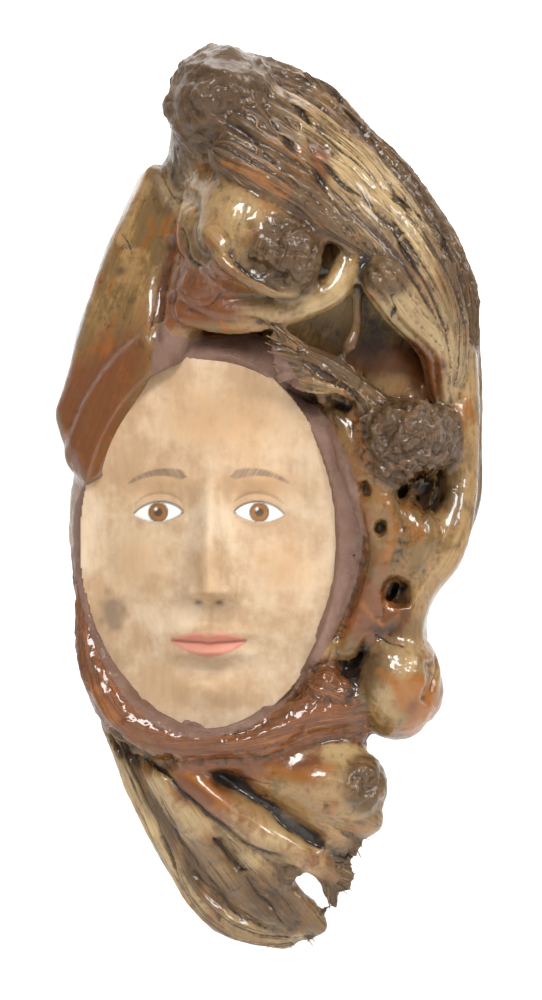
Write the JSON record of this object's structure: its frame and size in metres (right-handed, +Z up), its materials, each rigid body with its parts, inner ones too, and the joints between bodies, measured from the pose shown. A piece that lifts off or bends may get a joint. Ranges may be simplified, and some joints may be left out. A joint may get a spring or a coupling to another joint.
{
  "type": "root wood carving",
  "caption": "Wall-hung root wood carving: a hooded head with a calm face cut into a gnarled root, with strand-like bark above, burls at the side and torn root ends below.",
  "frame": {"origin": "middle of the sawn flat back, half way up the carving's height, on the line that the carving was laid out from", "axes": "+Y out of the flat back, into the wall; +Z up along the carving's length; the face looks along -Y"},
  "size_m": [0.2843, 0.1468, 0.6016],
  "materials": {
    "varnished_root_wood": "gloss varnish over weathered root wood, with a dull painted hood band and a matte painted face"
  },
  "bodies": {
    "root": {"root_carving": "varnished_root_wood"}
  },
  "joints": []
}
